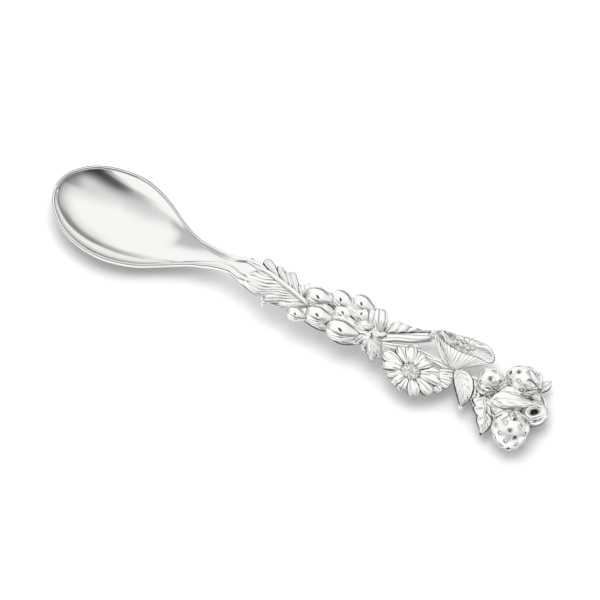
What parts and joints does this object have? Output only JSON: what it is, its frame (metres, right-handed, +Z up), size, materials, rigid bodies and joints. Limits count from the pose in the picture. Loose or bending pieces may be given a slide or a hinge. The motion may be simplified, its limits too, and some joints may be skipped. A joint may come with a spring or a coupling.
{
  "type": "spice spoon",
  "caption": "Small silver spice spoon: an oval bowl on a slender neck, and an openwork handle of leaves, buds, blossoms and strawberries.",
  "frame": {"origin": "middle of the flat on which the bowl rests, on the table", "axes": "+X along the spoon from the bowl to the end of the handle, +Z up, +Y across to the left"},
  "size_m": [0.107, 0.0188, 0.0106],
  "materials": {
    "bowl_silver": "polished silver, mirror bright",
    "cast_silver": "cast silver, polished on its high places",
    "grained_silver": "cast silver, satin and grained"
  },
  "bodies": {
    "root": {"bowl": "bowl_silver", "stem": "grained_silver", "feather_leaf": "cast_silver", "leaf_bud": "cast_silver", "fruit_1": "cast_silver", "fruit_2": "cast_silver", "fruit_3": "cast_silver", "fruit_4": "cast_silver", "fruit_5": "cast_silver", "fruit_6": "cast_silver", "fruit_7": "cast_silver", "fruit_8": "cast_silver", "tulip_bud": "cast_silver", "star_leaf": "cast_silver", "curled_leaf": "cast_silver", "daisy_petals": "cast_silver", "daisy_centre": "grained_silver", "trumpet_flower": "cast_silver", "trumpet_pistil": "grained_silver", "hanging_leaf": "cast_silver", "pointed_leaf": "cast_silver", "berry_small": "cast_silver", "berry_left": "cast_silver", "berry_right": "cast_silver", "berry_end": "cast_silver", "calyx_small": "grained_silver", "calyx_left": "grained_silver", "calyx_right": "grained_silver", "crown_leaf": "cast_silver", "tip_leaf": "cast_silver"}
  },
  "joints": []
}
